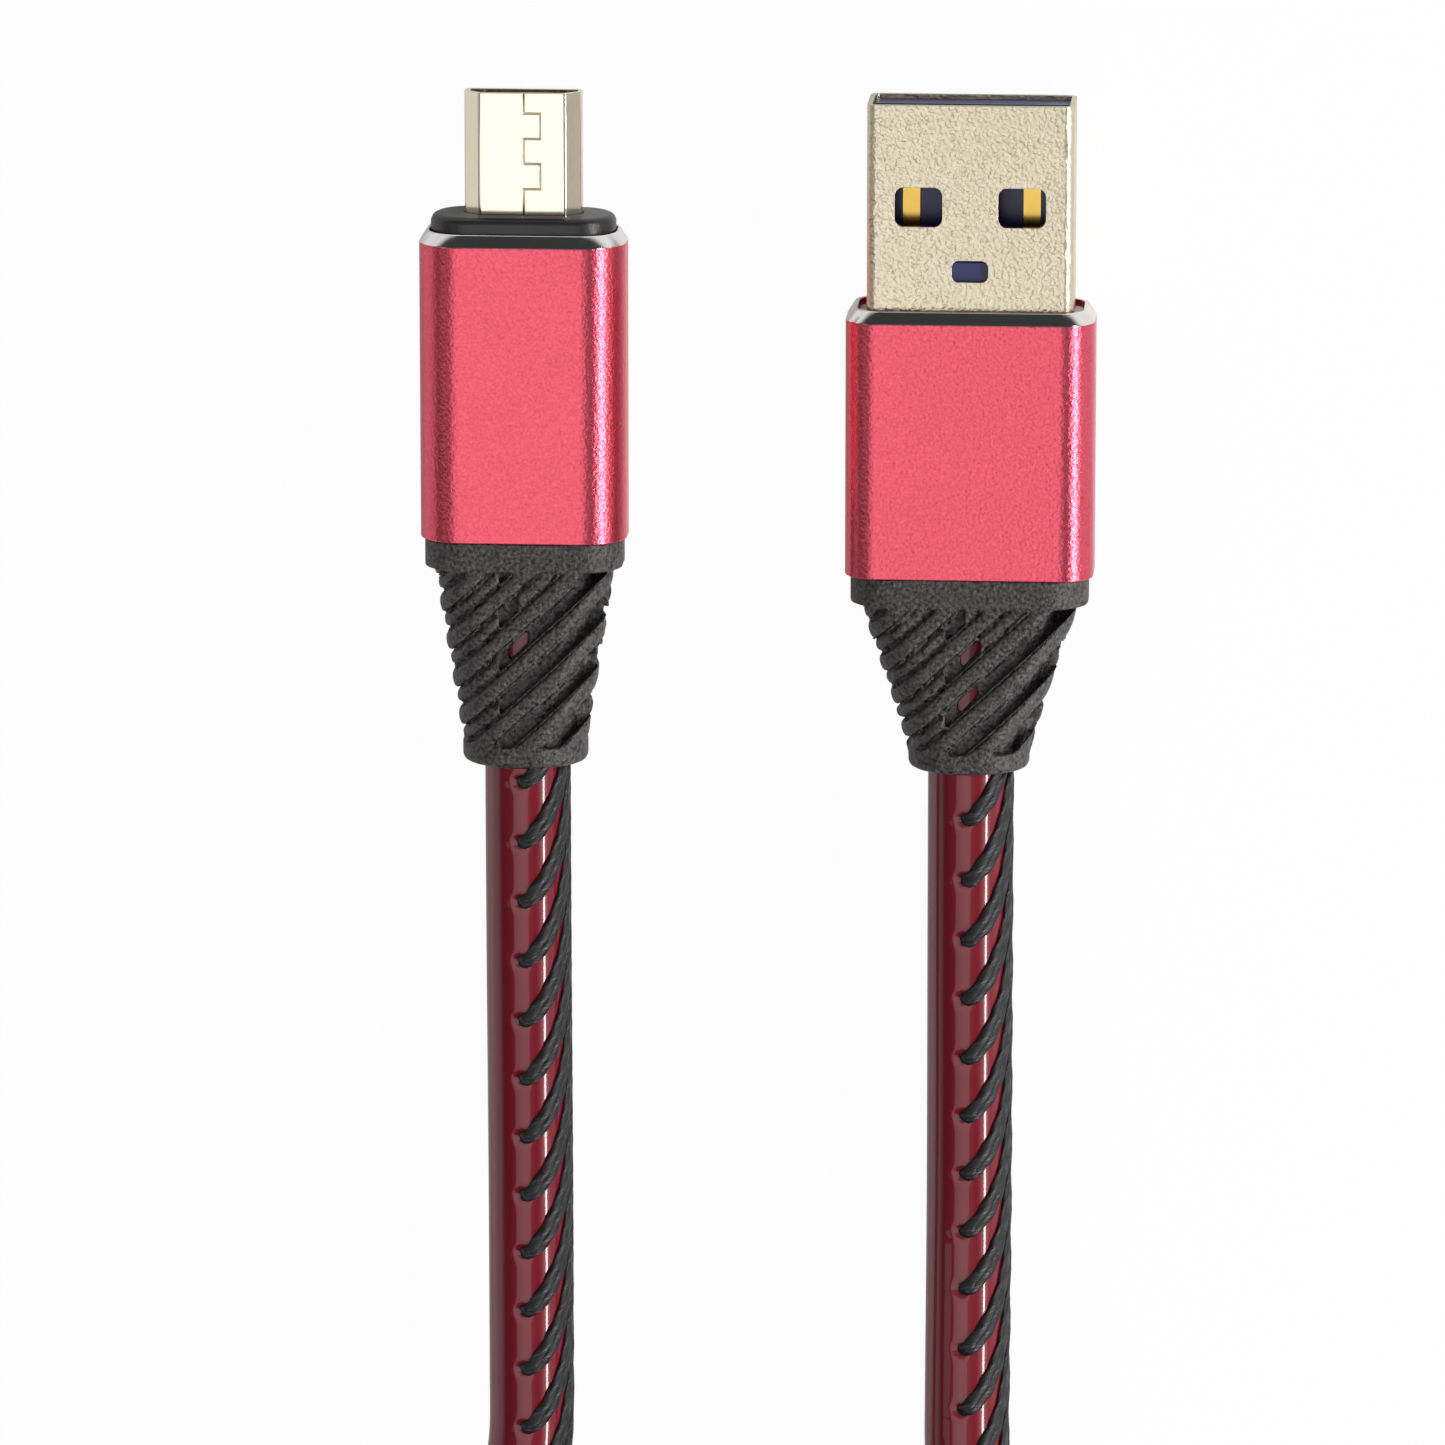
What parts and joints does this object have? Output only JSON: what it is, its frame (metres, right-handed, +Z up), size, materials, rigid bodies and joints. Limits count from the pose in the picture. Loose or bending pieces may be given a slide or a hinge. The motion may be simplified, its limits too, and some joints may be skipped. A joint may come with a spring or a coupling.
{
  "type": "charging cable",
  "caption": "Charging cable with a wide flat host plug, a small device plug, ribbed strain reliefs and a stitched leather-covered cord put away in a coil.",
  "frame": {"origin": "on the surface the cable lies on, under the middle of the box round the two plugs", "axes": "+Y from the cord ends of the plugs to their tips, +Z up out of the faces the picture shows, +X from the device plug to the host plug"},
  "size_m": [0.0615, 0.1433, 0.01],
  "materials": {
    "plated_steel": "satin nickel plating",
    "spring_steel": "bright",
    "red_anodised": "bead-blasted red anodised, bright chamfer",
    "black_rubber": "satin",
    "black_plastic": "satin",
    "blue_plastic": "matt",
    "white_plastic": "matt",
    "gold_contact": "gold plated",
    "cord_jacket": "matt",
    "cord_leather": "glossy coated",
    "wire_red": "matt",
    "wire_white": "matt",
    "wire_green": "matt",
    "wire_black": "matt"
  },
  "bodies": {
    "root": {"host_shell": "plated_steel", "host_tongue": "blue_plastic", "host_contact_1": "gold_contact", "host_contact_2": "gold_contact", "host_contact_3": "gold_contact", "host_contact_4": "gold_contact", "host_wire_red": "wire_red", "host_wire_white": "wire_white", "host_wire_green": "wire_green", "host_wire_black": "wire_black", "host_crimp_clamp": "spring_steel", "host_inner_mould": "white_plastic", "host_cord_jacket": "cord_jacket", "host_cord_cover": "cord_leather", "host_sleeve": "red_anodised", "host_boot": "black_rubber", "device_shell": "plated_steel", "device_tongue": "black_plastic", "device_contact_1": "gold_contact", "device_contact_2": "gold_contact", "device_contact_3": "gold_contact", "device_contact_4": "gold_contact", "device_contact_5": "gold_contact", "device_wire_red": "wire_red", "device_wire_white": "wire_white", "device_wire_green": "wire_green", "device_wire_black": "wire_black", "device_nose": "black_plastic", "device_inner_mould": "white_plastic", "device_cord_jacket": "cord_jacket", "device_cord_cover": "cord_leather", "device_sleeve": "red_anodised", "device_boot": "black_rubber", "cord_lead_device": "cord_leather", "cord_lead_host": "cord_leather", "cord_coil": "cord_leather"},
    "latch_left": {"device_latch_left": "spring_steel"},
    "latch_right": {"device_latch_right": "spring_steel"}
  },
  "joints": [
    {"name": "latch_left_press", "type": "hinge", "parent": "root", "child": "latch_left", "pos_m": [-0.0162, 0.01165, 0.00277], "axis": [1, 0, 0], "range_deg": [0, 3.5], "stiffness_Nm_per_rad": 0.18},
    {"name": "latch_right_press", "type": "hinge", "parent": "root", "child": "latch_right", "pos_m": [-0.0111, 0.01165, 0.00277], "axis": [1, 0, 0], "range_deg": [0, 3.5], "stiffness_Nm_per_rad": 0.18}
  ]
}
